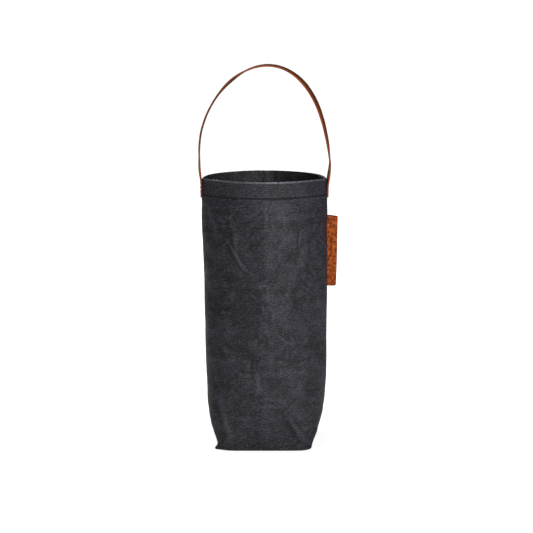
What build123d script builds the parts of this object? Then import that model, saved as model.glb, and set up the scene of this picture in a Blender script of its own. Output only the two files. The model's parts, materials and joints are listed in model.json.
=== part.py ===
from build123d import *
import os

# Wine gift bag: a stitched canvas bottle bag with a leather carrying strap and a leather side tag.
#
# The bag is sewn from a front and a back panel. They meet in a seam down each side and in a seam
# across the base, and the base corners are boxed, so the oval body turns into a rectangle at the
# floor. The rim is turned inwards as a hem. The strap is sewn on the outside of the hem over both
# side seams, and the tag is caught in the right side seam. Strap and tag are leather: each is split
# here at the line where it bends, into a sewn length that stays with the bag and a free length that
# swings.
#
# Millimetres. +Z is up and the floor is Z = 0. -Y is the front, +X the side with the tag, and the
# origin is the middle of the base.

# Cloth
cloth = 1.0  # thickness of one layer
hem_wall = 2.2  # thickness of the wall where the rim is turned in
seam_allowance = 8.0  # cloth beyond each seam line, on the inside
base_width = 101.0
base_depth = 94.0
body_width = 134.0
body_depth = 105.0
neck_width = 137.5  # just below the hem
neck_depth = 99.0
rim_width = 136.0
rim_depth = 98.0
rim_height = 297.5
hem_height = 18.0  # the turned rim, down to its stitch line
hem_margin = 3.0  # turned cloth below the stitch line
above_rim = 4.0  # the outline runs on past the rim, where the panels are cut
corner_seam_length = 64.0  # across each boxed base corner

stitch_line_height = rim_height - hem_height
hem_low = stitch_line_height - hem_margin

# Height, width, depth and corner radius of the bag's outline, from the floor to above the rim
outline = (
    (0.0, base_width, base_depth, 12.0),
    (20.0, 113.0, 98.0, 22.0),
    (60.0, 129.0, 103.0, 44.0),
    (150.0, body_width, body_depth, 50.0),
    (255.0, neck_width, neck_depth, 48.0),
    (hem_low, rim_width, rim_depth, 47.0),
    (rim_height + above_rim, rim_width, rim_depth, 47.0),
)

# Strap
strap_width = 12.0
strap_thickness = 1.9
strap_gap = 0.15  # between the sewn strap and the cloth under it
strap_half_span = 71.0  # at the widest point of the arch
strap_arch_base = 316.0  # height where the legs turn into the arch
strap_arch_rise = 102.5
strap_end_drop = 22.0  # sewn length below the rim
strap_end_corner = 1.0
strap_hinge_above_rim = 7.0  # height of the bend above the rim
strap_bend_gap = 1.5  # between the sewn lengths and the loop, so that the loop can swing past level

strap_leg_x = rim_width / 2 + strap_gap + strap_thickness / 2
strap_hinge_height = rim_height + strap_hinge_above_rim
strap_foot_height = strap_hinge_height - strap_width / 2
strap_foot_radius = strap_width / 2 - 0.01  # the feet are rounded about the bend line

# Tag
tag_height = 79.0
tag_low = 176.0
tag_thickness = 1.8
tag_reach = 11.0  # free width beyond the bend line
tag_hinge_x = 70.0
tag_root_inner_x = 58.0
tag_corner = 1.2
tag_bend_gap = 0.3  # between the sewn margin and the free width that swings
tag_room = 0.2  # clearance round the sewn margin, along its edges
tag_slot = tag_thickness + 0.1

# Thread
thread_radius = 0.35
thread_lift = thread_radius + 0.08  # the thread's axis above the face that it lies on
stitch_length = 2.8
stitch_pitch = 4.2
strap_stitch_margin = 2.0  # from the strap's edges
strap_stitch_drop = 3.5  # from the rim to the top row
hem_stitch_clearance = 0.4  # between the strap and the nearest hem stitch
side_stitch_inset = 5.5  # from the outside of the wall to the side seam's stitches
side_stitch_start = 8.0  # height of the lowest side stitch
side_stitch_end = hem_low - 5.0
tag_stitch_clearance = 4.0  # the seam parts this far above and below the tag
base_stitch_inset = 12.0  # from the base's side edges to the ends of its seam
corner_stitch_inset = 4.0  # from the base's side edge to the corner seam
corner_stitch_half = 30.0
corner_stitch_clearance = 4.0  # from the side seam

room = 400.0  # cutting boxes are larger than the bag
LEFT, RIGHT = -1, 1
FRONT, BACK = -1, 1


def bag_form(inset):
    """The bag's outline as a filled solid, with its surface moved inwards by inset."""
    with BuildPart() as form:
        for height, width, depth, corner in outline:
            with BuildSketch(Plane.XY.offset(height)):
                RectangleRounded(width - 2 * inset, depth - 2 * inset, corner - inset)
        loft(ruled=True)
    return form.part


def slice_between(solid, low, high):
    """The part of a solid between two heights."""
    with BuildPart() as kept:
        add(solid)
        with Locations((0, 0, (low + high) / 2)):
            Box(room, room, high - low, mode=Mode.INTERSECT)
    return kept.part


def wall_x(height):
    """Half the bag's width at a height: the outline runs straight between its sections."""
    for (z0, w0, _, _), (z1, w1, _, _) in zip(outline, outline[1:]):
        if z0 <= height <= z1:
            return (w0 + (w1 - w0) * (height - z0) / (z1 - z0)) / 2


def seam_fin(side, half_thickness, low, high):
    """Cloth standing inwards from one side seam, rooted half a layer deep in the wall."""
    heights = [low] + [section[0] for section in outline if low < section[0] < high] + [high]
    root = [(side * (wall_x(z) - cloth / 2), z) for z in heights]
    edge = [(side * (wall_x(z) - cloth - seam_allowance), z) for z in reversed(heights)]
    with BuildPart() as fin:
        with BuildSketch(Plane.XZ):
            with BuildLine():
                Polyline(*root, *edge, close=True)
            make_face()
        extrude(amount=half_thickness, both=True)
    return fin.part


outer_form = bag_form(0.0)
cavity_below_hem = slice_between(bag_form(cloth), cloth, hem_low)
cavity_in_hem = slice_between(bag_form(hem_wall), hem_low, rim_height + above_rim)

# Two layers of cloth along each side seam, which part on the right to hold the tag
allowance_left = seam_fin(LEFT, cloth, cloth, hem_low)
allowance_right = seam_fin(RIGHT, cloth, cloth, hem_low)
tag_pocket = seam_fin(RIGHT, tag_slot / 2 + cloth, tag_low - cloth, tag_low + tag_height + cloth)


def panel(side):
    """The front or the back panel, with its turned hem and its seam allowances."""
    corner_allowance_x = base_width / 2 - cloth - seam_allowance / 2
    with BuildPart() as half:
        add(outer_form)
        add(cavity_below_hem, mode=Mode.SUBTRACT)
        add(cavity_in_hem, mode=Mode.SUBTRACT)
        add(allowance_left)
        add(allowance_right)
        add(tag_pocket)
        # Base seam and boxed corner seams, pressed flat on the inside of the base
        with Locations((0, 0, 1.5 * cloth)):
            Box(base_width - 2 * cloth, 2 * seam_allowance, cloth)
        with Locations((-corner_allowance_x, 0, 1.5 * cloth), (corner_allowance_x, 0, 1.5 * cloth)):
            Box(seam_allowance, corner_seam_length, cloth)
        # Slot for the tag's sewn margin, open through the side of the bag
        with Locations((tag_root_inner_x - tag_room, 0, tag_low - tag_room)):
            Box(
                room,
                tag_slot,
                tag_height + 2 * tag_room,
                align=(Align.MIN, Align.CENTER, Align.MIN),
                mode=Mode.SUBTRACT,
            )
        with Locations((0, side * room / 2, rim_height / 2)):
            Box(room, room, rim_height, mode=Mode.INTERSECT)
    return half


front_panel = panel(FRONT)
back_panel = panel(BACK)

# Free length of the strap: an arch that swings about the line between its two bends
with BuildPart() as strap_loop:
    with BuildSketch(Plane.XZ):
        with BuildLine():
            Line((-strap_leg_x, strap_foot_height), (-strap_leg_x, strap_hinge_height))
            Spline(
                (-strap_leg_x, strap_hinge_height),
                (-strap_half_span, strap_arch_base),
                tangents=((0, 1), (0, 1)),
            )
            EllipticalCenterArc(
                (0, strap_arch_base), strap_half_span, strap_arch_rise, start_angle=0, arc_size=180
            )
            Spline(
                (strap_half_span, strap_arch_base),
                (strap_leg_x, strap_hinge_height),
                tangents=((0, -1), (0, -1)),
            )
            Line((strap_leg_x, strap_hinge_height), (strap_leg_x, strap_foot_height))
        trace(line_width=strap_thickness)
    extrude(amount=strap_width / 2, both=True)
    feet = strap_loop.edges().filter_by(Axis.X).group_by(Axis.Z)[0]
    fillet(feet, radius=strap_foot_radius)


def strap_end(side):
    """The length of strap that is sewn over one side seam."""
    top = strap_foot_height - strap_bend_gap
    bottom = rim_height - strap_end_drop
    with BuildPart() as end:
        with Locations((side * strap_leg_x, 0, (top + bottom) / 2)):
            Box(strap_thickness, strap_width, top - bottom)
        fillet(end.edges().filter_by(Axis.X), radius=strap_end_corner)
    return end


strap_end_left = strap_end(LEFT)
strap_end_right = strap_end(RIGHT)

# Free width of the tag, with its inner edge rounded about the bend line
with BuildPart() as tag_flap:
    with BuildSketch(Plane.XY.offset(tag_low)):
        with Locations((tag_hinge_x + tag_reach / 2, 0)):
            Rectangle(tag_reach, tag_thickness)
        with Locations((tag_hinge_x, 0)):
            Circle(tag_thickness / 2)
    extrude(amount=tag_height)
    outer_corners = tag_flap.edges().filter_by(Axis.Y).group_by(Axis.X)[-1]
    fillet(outer_corners, radius=tag_corner)

# Margin of the tag held in the seam
with BuildPart() as tag_root:
    with BuildSketch(Plane.XY.offset(tag_low)):
        root_outer_x = tag_hinge_x - tag_thickness / 2 - tag_bend_gap
        with Locations(((tag_root_inner_x + root_outer_x) / 2, 0)):
            Rectangle(root_outer_x - tag_root_inner_x, tag_thickness)
    extrude(amount=tag_height)


def stitches(places):
    """Short lengths of thread, one at each place, lying along the place's own Z."""
    with BuildPart() as run:
        with Locations(*places):
            Cylinder(radius=thread_radius, height=stitch_length)
    return run


def row(start, end):
    """Evenly pitched stitch places along a straight line."""
    line = Edge.make_line(start, end)
    count = max(1, round(line.length / stitch_pitch))
    return [line.location_at((i + 0.5) / count) for i in range(count)]


def hem_stitches():
    """One line of stitches round the outside of the hem, except under the strap."""
    slice_at_stitches = outer_form.intersect(Plane.XY.offset(stitch_line_height))
    line = slice_at_stitches.faces()[0].outer_wire().offset_2d(thread_lift)
    count = round(line.length / stitch_pitch)
    places = [line.location_at(i / count) for i in range(count)]
    clear_of_strap = strap_width / 2 + stitch_length / 2 + hem_stitch_clearance
    return stitches([place for place in places if abs(place.position.Y) > clear_of_strap])


def strap_stitches(side):
    """A rectangle of stitches on the outside of one strap end."""
    x = side * (strap_leg_x + strap_thickness / 2 + thread_lift)
    half = strap_width / 2 - strap_stitch_margin
    low = stitch_line_height
    high = rim_height - strap_stitch_drop
    corners = [(x, -half, low), (x, half, low), (x, half, high), (x, -half, high)]
    places = []
    for start, end in zip(corners, corners[1:] + corners[:1]):
        places += row(start, end)
    return stitches(places)


def side_seam_stitches(side):
    """Both faces of one side seam's allowance, stitched from above the base to the hem."""
    places = []
    count = round((side_stitch_end - side_stitch_start) / stitch_pitch)
    for i in range(count):
        height = side_stitch_start + (i + 0.5) * (side_stitch_end - side_stitch_start) / count
        below_tag = height < tag_low - tag_stitch_clearance
        above_tag = height > tag_low + tag_height + tag_stitch_clearance
        beside_tag = side == RIGHT and not below_tag and not above_tag
        layers = cloth + (tag_slot / 2 if beside_tag else 0)
        for face in (FRONT, BACK):
            y = face * (layers + thread_lift)
            places.append(Location((side * (wall_x(height) - side_stitch_inset), y, height)))
    return stitches(places)


def base_seam_stitches():
    """The seam across the base, on the inside."""
    half = base_width / 2 - base_stitch_inset
    height = 2 * cloth + thread_lift
    return stitches(row((-half, 0, height), (half, 0, height)))


def corner_seam_stitches(side):
    """The seam across one boxed corner, along the side edge of the base, on the inside."""
    x = side * (base_width / 2 - corner_stitch_inset)
    height = 2 * cloth + thread_lift
    places = row((x, -corner_stitch_half, height), (x, -corner_stitch_clearance, height))
    places += row((x, corner_stitch_clearance, height), (x, corner_stitch_half, height))
    return stitches(places)


pieces = {
    "front_panel": front_panel,
    "back_panel": back_panel,
    "strap_loop": strap_loop,
    "strap_end_left": strap_end_left,
    "strap_end_right": strap_end_right,
    "tag_flap": tag_flap,
    "tag_root": tag_root,
    "hem_stitching": hem_stitches(),
    "strap_stitching_left": strap_stitches(LEFT),
    "strap_stitching_right": strap_stitches(RIGHT),
    "side_seam_thread_left": side_seam_stitches(LEFT),
    "side_seam_thread_right": side_seam_stitches(RIGHT),
    "base_seam_thread": base_seam_stitches(),
    "corner_seam_thread_left": corner_seam_stitches(LEFT),
    "corner_seam_thread_right": corner_seam_stitches(RIGHT),
}

os.makedirs("parts", exist_ok=True)
for name, piece in pieces.items():
    piece.part.label = name
    export_step(piece.part, f"parts/{name}.step")
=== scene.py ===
import json
import math

import bpy
import numpy as np
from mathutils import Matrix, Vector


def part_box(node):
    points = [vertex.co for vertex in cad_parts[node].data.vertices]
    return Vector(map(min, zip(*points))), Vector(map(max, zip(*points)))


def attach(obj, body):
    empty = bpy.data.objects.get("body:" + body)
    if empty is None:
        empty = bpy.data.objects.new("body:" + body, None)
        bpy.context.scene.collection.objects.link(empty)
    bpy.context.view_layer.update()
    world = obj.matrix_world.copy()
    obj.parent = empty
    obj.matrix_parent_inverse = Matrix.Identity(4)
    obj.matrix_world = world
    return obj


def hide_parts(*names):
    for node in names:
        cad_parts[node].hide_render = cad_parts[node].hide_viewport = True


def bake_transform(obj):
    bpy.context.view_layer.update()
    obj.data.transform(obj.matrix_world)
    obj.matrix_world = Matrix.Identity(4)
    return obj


# Wine gift bag: the looks. Metres, in the CAD frame: +Z up, -Y the front, +X the side with the tag.

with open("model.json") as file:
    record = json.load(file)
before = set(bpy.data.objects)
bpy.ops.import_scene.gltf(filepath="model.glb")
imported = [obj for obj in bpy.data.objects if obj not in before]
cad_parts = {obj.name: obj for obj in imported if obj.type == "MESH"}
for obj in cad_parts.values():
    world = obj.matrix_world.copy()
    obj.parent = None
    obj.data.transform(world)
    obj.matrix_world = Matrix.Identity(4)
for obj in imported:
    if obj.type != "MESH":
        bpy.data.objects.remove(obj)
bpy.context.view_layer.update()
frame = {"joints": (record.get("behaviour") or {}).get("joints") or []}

MM = 0.001
FRONT, BACK = -1, 1
LEFT, RIGHT = -1, 1

# ---------------------------------------------------------------- sizes

rim_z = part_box("front_panel")[1].z
strap_low, strap_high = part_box("strap_loop")
end_low, end_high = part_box("strap_end_right")
flap_low, flap_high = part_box("tag_flap")
root_low, root_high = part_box("tag_root")
joints = {joint["name"]: joint for joint in frame["joints"]}

cloth = 0.9 * MM
layer_gap = 0.12 * MM  # between layers of cloth that lie on each other
layer_step = cloth + layer_gap
hem_height = 18 * MM
hem_line = rim_z - hem_height
hem_low = hem_line - 3 * MM
seam_allowance = 8 * MM
seam_groove = 1.3 * MM
seam_groove_width = 2.4 * MM
bottom_radius = 1.8 * MM
panel_half_width = 98 * MM  # along the cloth, about
grid = 1.4 * MM  # spacing of the cloth's mesh
thread_radius = 0.36 * MM
stitch_length = 2.9 * MM
stitch_pitch = 4.2 * MM
stitch_top = rim_z - 3.5 * MM  # of the rectangles sewn through the strap's ends
stitch_depth = 0.4 * MM  # how deep those stitches are drawn into the leather
strap_half_width = (end_high.y - end_low.y) / 2
strap_half_thickness = (end_high.x - end_low.x) / 2
sewn_x = (end_high.x + end_low.x) / 2
stitch_half_width = strap_half_width - 2 * MM
tag_hinge_x = joints["tag_swing"]["pos_m"][0]
corner_strip_half = 34 * MM
corner_strip_top = 2 * cloth + layer_gap
base_rows = 20  # of the cloth's mesh, from the base seam to the edge of the base
outline_steps = 600  # of an outline, before its points are evenly spaced

# Height, half width, front depth, back depth, and the squareness of the front and of the back outline,
# from the floor to the rim
wall_stations = np.array((
    (0.000, 0.0514, 0.0490, 0.0460, 8.0, 8.0),
    (0.010, 0.0543, 0.0495, 0.0470, 7.0, 7.0),
    (0.018, 0.0577, 0.0500, 0.0480, 6.0, 6.0),
    (0.034, 0.0619, 0.0508, 0.0495, 4.4, 4.4),
    (0.050, 0.0650, 0.0515, 0.0505, 3.2, 3.4),
    (0.094, 0.0671, 0.0520, 0.0515, 2.45, 2.7),
    (0.160, 0.0679, 0.0518, 0.0520, 2.05, 2.4),
    (0.227, 0.0687, 0.0508, 0.0525, 1.9, 2.2),
    (0.258, 0.0695, 0.0480, 0.0535, 1.8, 2.1),
    (0.2795, 0.0684, 0.0420, 0.0545, 1.7, 1.95),
    (0.2975, 0.0680, 0.0445, 0.0560, 1.7, 1.85),
))
# Sideways lean of the bag's middle in millimetres, at each height in metres
wall_lean = ((0.0, 0.4), (0.01, 0.9), (0.02, 2.0), (0.05, 2.1), (0.09, 1.7), (0.16, 1.4), (0.21, 0.8),
             (0.24, 0.0), (0.29, 0.0))


def bell(distance, width):
    return np.exp(-0.5 * (distance / width) ** 2)


def smooth_step(low, high, value):
    t = np.clip((value - low) / (high - low), 0, 1)
    return t * t * (3 - 2 * t)


def unit(vectors):
    return vectors / np.linalg.norm(vectors, axis=-1, keepdims=True)


def running_total(steps):
    """How far along a line each point is, from the lengths of the steps between the points."""
    return np.concatenate(([0], np.cumsum(steps)))


def running_length(points):
    return running_total(np.linalg.norm(np.diff(points, axis=0), axis=1))


def blur_kernel(spread, step=1):
    """Bell-shaped weights that add up to 1, for values that lie a step apart."""
    reach = int(3 * spread / step)
    kernel = bell(np.arange(-reach, reach + 1) * step, spread)
    return kernel / kernel.sum()


def blur_lines(lines, kernel, ends):
    """Each line blurred by the kernel. ends says how a line goes on beyond its two ends."""
    reach = len(kernel) // 2
    return np.array([np.convolve(np.pad(line, reach, mode=ends), kernel, mode="valid") for line in lines])


def smooth_table(stations, spread):
    """A fine table of the stations, blurred so that no station leaves a corner."""
    step = 0.5 * MM
    heights = np.arange(stations[0, 0] - 4 * spread, stations[-1, 0] + 4 * spread, step)
    columns = [np.interp(heights, stations[:, 0], column) for column in stations.T[1:]]
    return heights, blur_lines(columns, blur_kernel(spread, step), "edge")


wall_heights, wall_columns = smooth_table(wall_stations, 4 * MM)


def wall_shape(z):
    """Half width, front and back depth, and front and back squareness at height z."""
    return [np.interp(z, wall_heights, column) for column in wall_columns]


def half_outline(side, z, count):
    """One panel's outline at height z: count points, evenly spaced from the left seam to the right."""
    width, front, back, front_squareness, back_squareness = wall_shape(z)
    depth, squareness = (front, front_squareness) if side == FRONT else (back, back_squareness)
    angle = np.linspace(0, math.pi, outline_steps)
    cosine, sine = np.cos(angle), np.sin(angle)
    x = -width * np.sign(cosine) * np.abs(cosine) ** (2 / squareness)
    x += MM * np.interp(z, *np.array(wall_lean).T)
    y = side * depth * np.abs(sine) ** (2 / squareness)
    length = running_total(np.hypot(np.diff(x), np.diff(y)))
    at = np.linspace(0, length[-1], count)
    return np.interp(at, length, x), np.interp(at, length, y), at


# ---------------------------------------------------------------- the shape of the cloth

rng = np.random.default_rng(12)
broad_bulge = 22 * MM  # changes of shape wider than this are left to the wall's own outline
sag_share = 0.28  # how much of the simulated buckling is used
sag_limit = 4 * MM
sag_columns, sag_rows = 96, 68
sag_frames = 40
sag_scale = 10  # the solver works best on a cloth of a few metres
cloth_settings = {
    "quality": 8,
    "mass": 0.05,
    "tension_stiffness": 300,
    "compression_stiffness": 300,
    "shear_stiffness": 80,
    "bending_stiffness": 5,
    "bending_damping": 0.5,
    "air_damping": 2,
    "shrink_min": -0.012,
    "vertex_group_mass": "pin",
}


def tube_points(heights, columns):
    """The bag's outline at each height, in columns that go round from the left seam, the front first."""
    half = columns // 2 + 1
    points = []
    for z in heights:
        fx, fy, _ = half_outline(FRONT, z, half)
        bx, by, _ = half_outline(BACK, z, half)
        x = np.concatenate((fx[:-1], bx[:0:-1]))
        y = np.concatenate((fy[:-1], by[:0:-1]))
        points.append(np.stack((x, y, np.full_like(x, z)), 1))
    return np.array(points)


def first_waves(rows, columns):
    """Slight waves the cloth starts with, which decide where it gives way."""
    chance = np.random.default_rng(5)
    round_share = np.arange(columns)[None, :] / columns
    up_share = np.linspace(0, 1, rows)[:, None]
    waves = np.zeros((rows, columns))
    for _ in range(60):
        waves_round, waves_up = chance.integers(2, 13), chance.uniform(0.5, 7)
        phase_round, phase_up = chance.uniform(0, 2 * math.pi, 2)
        wave = np.sin(2 * math.pi * waves_round * round_share + phase_round)
        waves += wave * np.sin(2 * math.pi * waves_up * up_share + phase_up) * 0.1 * MM
    return waves * np.sin(math.pi * up_share)


def settled_cloth(points):
    """A tube of cloth after the solver has run, pinned in its two lowest and its two highest rows."""
    index = np.arange(points.shape[0] * points.shape[1]).reshape(points.shape[:2])
    across = np.roll(index, -1, axis=1)
    faces = np.stack((index[:-1], across[:-1], across[1:], index[1:]), -1).reshape(-1, 4)
    mesh = bpy.data.meshes.new("sag")
    mesh.from_pydata((points * sag_scale).reshape(-1, 3).tolist(), [], faces.tolist())
    tube = bpy.data.objects.new("sag", mesh)
    scene = bpy.context.scene
    scene.collection.objects.link(tube)
    pin = tube.vertex_groups.new(name="pin")
    pin.add(index[[0, 1, -2, -1]].ravel().tolist(), 1.0, "REPLACE")
    modifier = tube.modifiers.new("cloth", "CLOTH")
    for name, value in cloth_settings.items():
        setattr(modifier.settings, name, value)
    modifier.settings.effector_weights.gravity = 0.02
    modifier.collision_settings.use_collision = False
    modifier.point_cache.frame_start = 1
    modifier.point_cache.frame_end = sag_frames
    for number in range(1, sag_frames + 1):
        scene.frame_set(number)
    settled = tube.evaluated_get(bpy.context.evaluated_depsgraph_get()).to_mesh()
    end = np.empty(points.size)
    settled.vertices.foreach_get("co", end)
    bpy.data.objects.remove(tube)
    scene.frame_set(1)
    return end.reshape(points.shape) / sag_scale


def simulated_sag():
    """How a tube of stiff cloth, held at the hem and at the base and cut a little too large, buckles.

    Gives the outward displacement on a grid of rows up the bag and columns round it, starting at the
    left seam and going round the front first.
    """
    heights = np.linspace(2 * MM, hem_line, sag_rows)
    start = tube_points(heights, sag_columns)
    outward = unit(start * (1, 1, 0))
    end = settled_cloth(start + outward * first_waves(sag_rows, sag_columns)[:, :, None])
    moved = ((end - start) * outward).sum(2)
    moved -= blurred(moved, broad_bulge / heights[-1] * sag_rows)
    return heights, sag_share * np.clip(moved, -sag_limit, sag_limit)


def blurred(field, spread):
    """A field blurred by spread cells, going round at its sides and mirrored at its top and bottom."""
    kernel = blur_kernel(spread)
    return blur_lines(blur_lines(field, kernel, "wrap").T, kernel, "reflect").T


def cubic_sample(field, row, column):
    """Catmull-Rom sample of a field whose columns go round and whose rows stop at both ends."""
    r0, c0 = np.floor(row).astype(int), np.floor(column).astype(int)
    fr, fc = row - r0, column - c0

    def weights(f):
        return (
            ((-0.5 * f + 1.0) * f - 0.5) * f,
            (1.5 * f - 2.5) * f * f + 1.0,
            ((-1.5 * f + 2.0) * f + 0.5) * f,
            (0.5 * f - 0.5) * f * f,
        )

    total = 0
    for i, wr in enumerate(weights(fr)):
        r = np.clip(r0 + i - 1, 0, field.shape[0] - 1)
        for j, wc in enumerate(weights(fc)):
            total = total + wr * wc * field[r, (c0 + j - 1) % field.shape[1]]
    return total


def along_line(s, z, line):
    """Distance from each point to a line of two or more points, and how near its ends each point is."""
    best = np.full(s.shape, 1e9)
    share = np.zeros(s.shape)
    lengths = [math.dist(a, b) for a, b in zip(line, line[1:])]
    total, done = sum(lengths), 0.0
    for (a, b), length in zip(zip(line, line[1:]), lengths):
        ds, dz = (b[0] - a[0]) / length, (b[1] - a[1]) / length
        along = np.clip((s - a[0]) * ds + (z - a[1]) * dz, 0, length)
        away = np.hypot(s - a[0] - along * ds, z - a[1] - along * dz)
        nearer = away < best
        best = np.where(nearer, away, best)
        share = np.where(nearer, (done + along) / total, share)
        done += length
    return best, np.sin(math.pi * np.clip(share, 0.02, 0.98)) ** 0.6


def stroke(s, z, line, width):
    """A line pressed or drawn on the cloth: 1 along it, fading over its width and towards both ends."""
    away, fade = along_line(s, z, line)
    return fade * bell(away, width)


def patch(s, z, across, up, middle):
    """1 in the middle of a patch, fading over its two radii. The three are in millimetres."""
    return bell(s - middle[0] * MM, across * MM) * bell(z - middle[1] * MM, up * MM)


# Creases of the front: height of the ridge (or depth of the dent), width, and the line it follows,
# as distance from the middle of the front and height, all in millimetres
front_creases = (
    (0.9, 1.6, ((-40, 233), (-32, 219), (-25, 207), (-16, 199))),
    (0.7, 1.8, ((-31, 221), (-33, 236), (-36, 252))),
    (-0.9, 5.0, ((-24, 257), (14, 250), (44, 249), (68, 253))),
    (-1.3, 5.5, ((46, 237), (27, 215), (6, 192))),
    (1.0, 4.0, ((43, 217), (32, 195), (22, 173))),
    (0.8, 3.0, ((-52, 122), (-44, 110), (-34, 100))),
    (-0.6, 1.5, ((-31, 91), (-14, 90))),
    (0.5, 2.0, ((-8, 92), (-10, 64))),
    (1.7, 2.4, ((22, 42), (36, 20), (50, 2))),
    (1.3, 3.0, ((-56, 66), (-46, 34), (-38, 10))),
    (0.5, 1.6, ((-66, 268), (-58, 250), (-56, 236))),
    (0.5, 1.5, ((-4, 275), (2, 262), (-1, 246))),
    (-0.5, 2.0, ((-70, 158), (-50, 150), (-30, 152))),
    (0.4, 1.6, ((8, 140), (16, 128), (30, 121))),
    (-0.4, 1.6, ((10, 108), (28, 100), (52, 104))),
    (0.4, 1.4, ((-20, 180), (-6, 168), (2, 150))),
)
# Broad swells of the front: height, radius across, radius up, and the middle of each
front_swells = (
    (1.6, 26, 20, (26, 226)),
    (-1.8, 14, 24, (-40, 192)),
    (-1.5, 13, 16, (-36, 126)),
    (1.3, 16, 14, (10, 258)),
    (1.2, 20, 60, (12, 110)),
    (-0.9, 16, 30, (-22, 40)),
    (1.0, 18, 18, (-48, 96)),
    (-0.8, 14, 20, (56, 150)),
)

scratch_width = 0.8 * MM
# Thin lines on the front where the wax is scratched: strength, and the line in millimetres as above
front_scratches = (
    (1.0, ((-56, 259), (-47, 253), (-46, 245))),
    (0.7, ((-68, 262), (-60, 249))),
    (0.7, ((-67, 236), (-57, 240), (-47, 238))),
    (0.9, ((-38, 231), (-33, 220), (-24, 202))),
    (0.6, ((-53, 218), (-52, 208))),
    (0.8, ((41, 245), (36, 229))),
    (0.6, ((4, 226), (15, 222), (19, 214))),
    (0.6, ((46, 213), (39, 206))),
    (0.6, ((-4, 86), (2, 74))),
    (0.5, ((30, 70), (33, 58))),
)
# Paler and darker front patches, uneven wax and painted light and shade: strength, radius across, radius up,
# and middle
front_wax_and_light_patches = (
    (-0.10, 6, 48, (-37, 196)),
    (-0.10, 2.4, 14, (-37, 233)),
    (-0.06, 10, 30, (-64, 214)),
    (0.11, 22, 5.5, (14, 272)),
    (0.12, 13, 7, (-62, 270)),
    (0.07, 7, 14, (-8, 258)),
    (0.06, 8, 6, (30, 264)),
    (-0.07, 8, 7, (25, 217)),
    (-0.05, 12, 8, (-14, 224)),
    (0.05, 14, 14, (58, 138)),
    (0.04, 12, 22, (20, 66)),
    (-0.09, 70, 7, (0, 4)),
)

# Upright folds in the back's hem: height, width and distance from the middle, in millimetres
back_rim_folds = ((0.5, 2.4, -24), (0.6, 2.2, -8), (-1.1, 2.4, 3), (1.0, 2.6, 10), (-0.5, 3.0, 34))


def crease_relief(side, s, z):
    """Ridges and dents pressed into one panel, outward in metres, at distance s from its middle."""
    relief = np.zeros(s.shape)
    if side == FRONT:
        for height, width, line in front_creases:
            relief += height * MM * stroke(s, z, np.array(line) * MM, width * MM)
        for height, across, up, middle in front_swells:
            relief += height * MM * patch(s, z, across, up, middle)
    # Small creases left by handling
    for _ in range(70):
        middle_s, middle_z = rng.uniform(-90, 90) * MM, rng.uniform(12, 268) * MM
        turn = rng.choice((0.0, 0.9, 1.57, 2.3)) + rng.normal(0, 0.25)
        half = rng.uniform(5, 17) * MM
        bend = rng.normal(0, 2.5) * MM
        height = rng.choice((-1, 1)) * rng.uniform(0.15, 0.42) * MM
        width = rng.uniform(0.9, 2.0) * MM
        c, d = math.cos(turn), math.sin(turn)
        line = [(middle_s + k * half * c - (1 - abs(k)) * bend * d,
                 middle_z + k * half * d + (1 - abs(k)) * bend * c) for k in (-1, 0, 1)]
        relief += height * stroke(s, z, line, width)
    # Slow waves, by size and height in millimetres
    for size, height in ((70, 0.45), (38, 0.22), (20, 0.09), (11, 0.04)):
        for _ in range(5):
            turn, phase = rng.uniform(0, math.pi), rng.uniform(0, 2 * math.pi)
            pitch = size * MM * rng.uniform(0.8, 1.25)
            wave = np.sin(2 * math.pi * (s * math.cos(turn) + z * math.sin(turn)) / pitch + phase)
            relief += height * MM * wave
    return relief


def hem_relief(s, z, from_seam):
    """The narrow dent of the stitched hem line, a ridge just under it, and the swell of the body below."""
    pucker = 0.15 * MM * np.sin(2 * math.pi * s / stitch_pitch)
    dent = -(0.75 * MM + pucker) * bell(z - hem_line, 0.55 * MM)
    ridge = 0.15 * MM * bell(z - (hem_line - 2 * MM), 0.9 * MM)
    swell = 0.3 * MM * bell(z - (hem_line - 7 * MM), 4 * MM)
    return (dent + ridge + swell) * smooth_step(3 * MM, 7 * MM, from_seam)


# The cloth sticks out where the boxed corner seams start: how far outward, and how far up it reaches
corner_x, corner_y, corner_z, corner_width = 48.5 * MM, 40 * MM, 1.2 * MM, 2.6 * MM
corner_points = (
    (LEFT, FRONT, 5.5 * MM, 2.2 * MM),
    (RIGHT, BACK, 3.0 * MM, 2.2 * MM),
    (LEFT, BACK, 3.5 * MM, 2.2 * MM),
    (RIGHT, FRONT, 1.0 * MM, 3.0 * MM),
)


def corner_push(x, y, z):
    """How far outward the four corners push each point, in metres."""
    push = np.zeros(x.shape)
    for side_x, side_y, reach, height in corner_points:
        away = np.hypot(x - side_x * corner_x, y - side_y * corner_y)
        push += reach * bell(away, corner_width) * bell(z - corner_z, height)
    return push


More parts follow.
